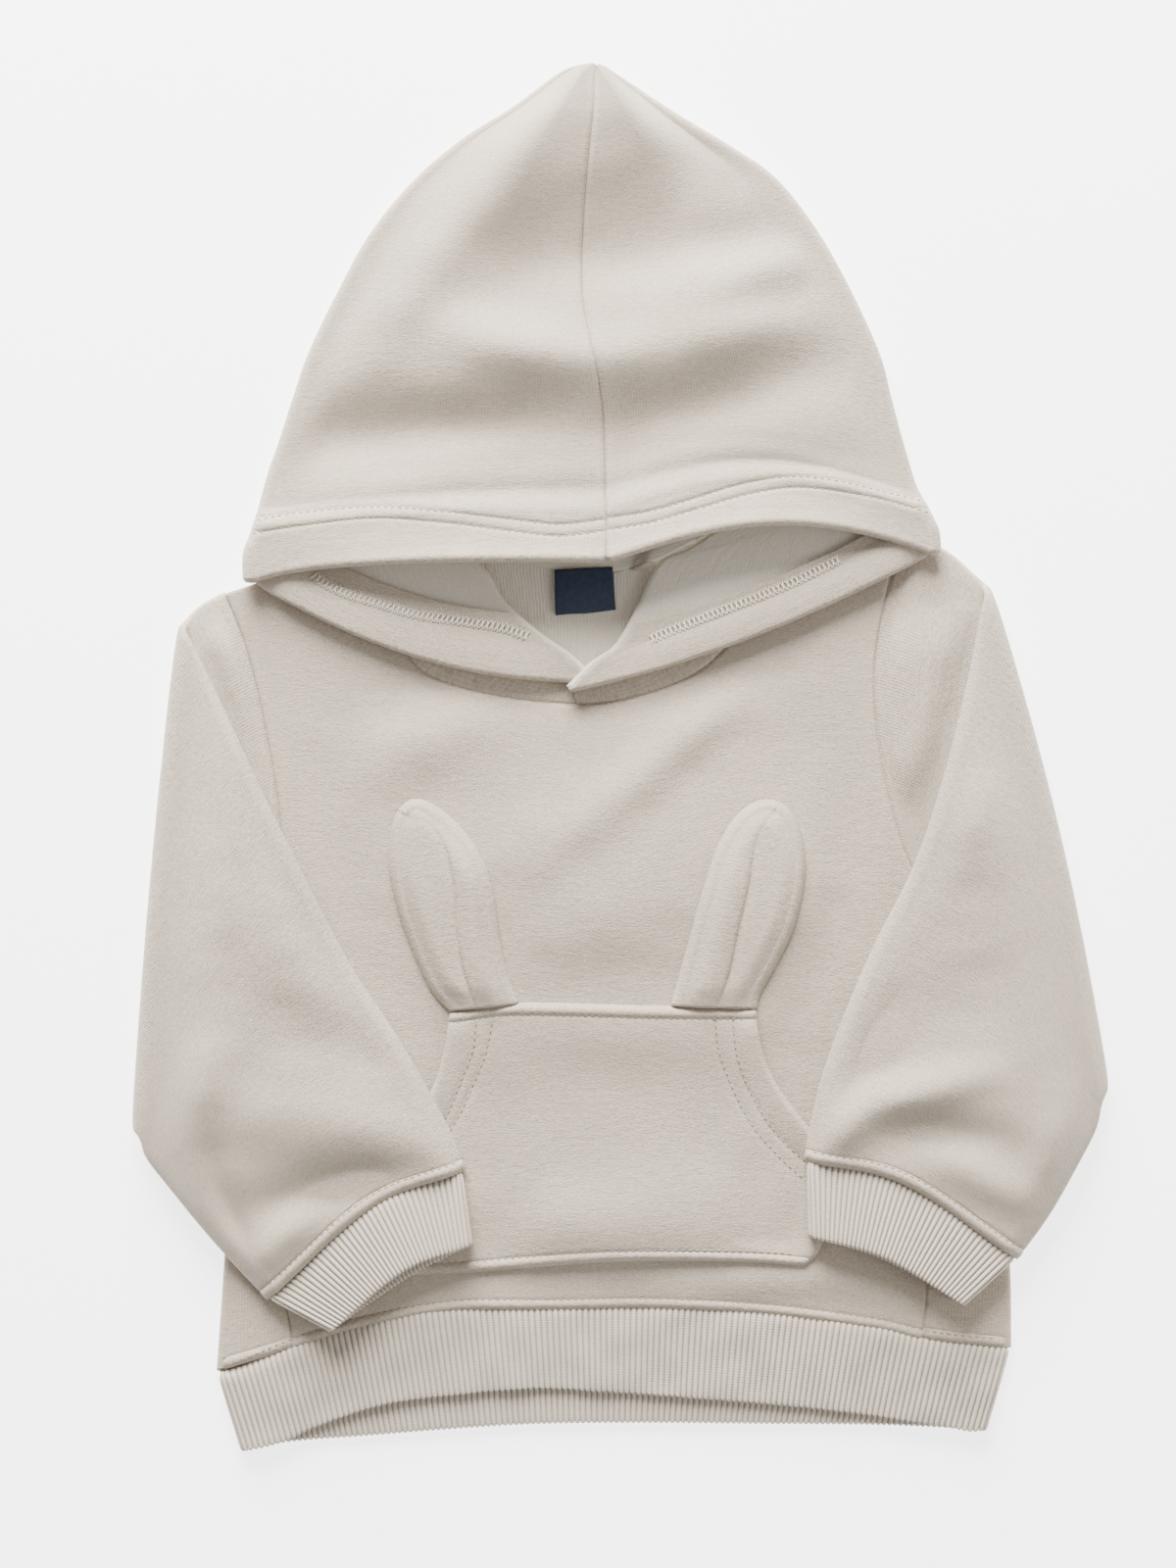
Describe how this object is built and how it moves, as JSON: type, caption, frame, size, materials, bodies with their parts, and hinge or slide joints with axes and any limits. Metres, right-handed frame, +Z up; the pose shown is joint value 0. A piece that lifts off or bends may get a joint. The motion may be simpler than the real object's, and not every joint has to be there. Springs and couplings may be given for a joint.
{
  "type": "hooded sweatshirt",
  "caption": "Baby's fleece hooded sweatshirt laid flat, sleeves folded forward, ribbed cuffs and hem, front pocket with standing rabbit ears.",
  "frame": {"origin": "middle of the bounding box at the height of the surface that the sweatshirt lies on", "axes": "+Z up off the surface, +Y from the hem to the top of the hood, +X to the right of someone looking down at the front"},
  "size_m": [0.3681, 0.5284, 0.0174],
  "materials": {
    "fleece": "off-white cotton fleece, smooth fine knit outside, brushed inside",
    "rib": "off-white ribbed knit, turned double",
    "label": "navy woven satin label, bare"
  },
  "bodies": {
    "root": {"back_panel": "fleece", "front_panel": "fleece", "hem_band": "rib", "sleeve_left": "fleece", "sleeve_right": "fleece", "cuff_left": "rib", "cuff_right": "rib", "hood_left": "fleece", "hood_right": "fleece", "pocket": "fleece", "ear_left": "fleece", "ear_right": "fleece", "neck_label": "label"}
  },
  "joints": []
}
